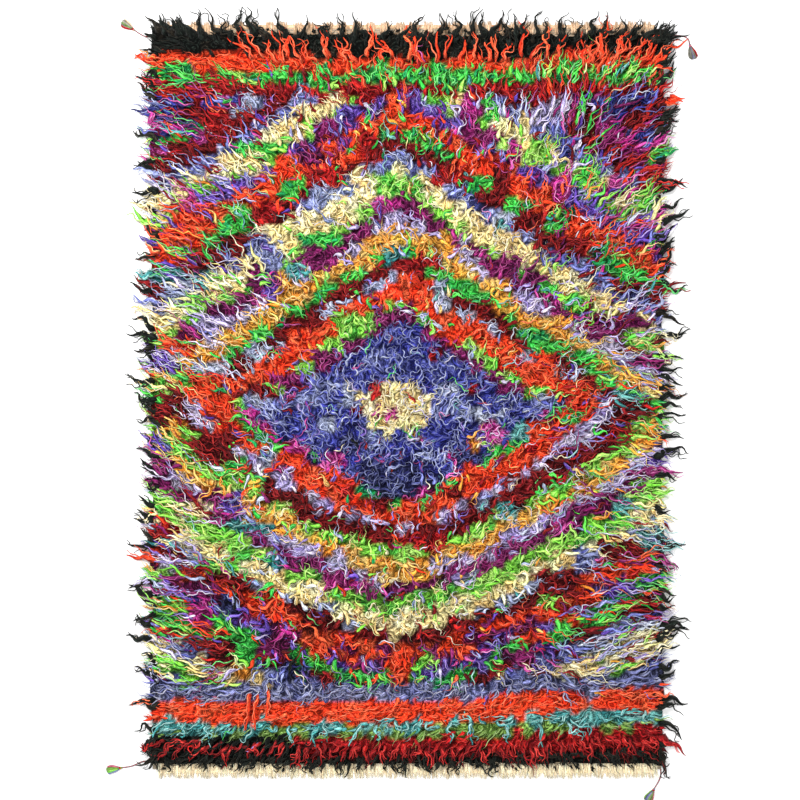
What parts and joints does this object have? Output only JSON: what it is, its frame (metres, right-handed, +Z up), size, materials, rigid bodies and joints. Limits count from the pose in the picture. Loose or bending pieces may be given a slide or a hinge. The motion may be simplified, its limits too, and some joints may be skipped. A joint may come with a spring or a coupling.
{
  "type": "long-pile hand-knotted wool rug",
  "caption": "Rectangular hand-knotted long-pile wool rug with a stepped lozenge design, striped ends, short warp fringes and a small tassel on a cord at each corner.",
  "frame": {"origin": "middle of the flat underside of the knotted field, on the floor", "axes": "+Y along the rug's length towards its black top end, +X across it to the right seen from above, +Z up out of the floor"},
  "size_m": [1.363, 1.8429, 0.0377],
  "materials": {
    "shag": "long curly wool pile in many colours",
    "warp_ends": "undyed flat-woven wool with frayed ends",
    "cord": "two-ply twisted wool",
    "tassel": "loose wool strands"
  },
  "bodies": {
    "root": {"shag_field": "shag", "end_band_top": "warp_ends", "end_band_bottom": "warp_ends", "cord_top_left": "cord", "cord_top_right": "cord", "cord_bottom_left": "cord", "cord_bottom_right": "cord", "tassel_top_left": "tassel", "tassel_top_right": "tassel", "tassel_bottom_left": "tassel", "tassel_bottom_right": "tassel"}
  },
  "joints": []
}
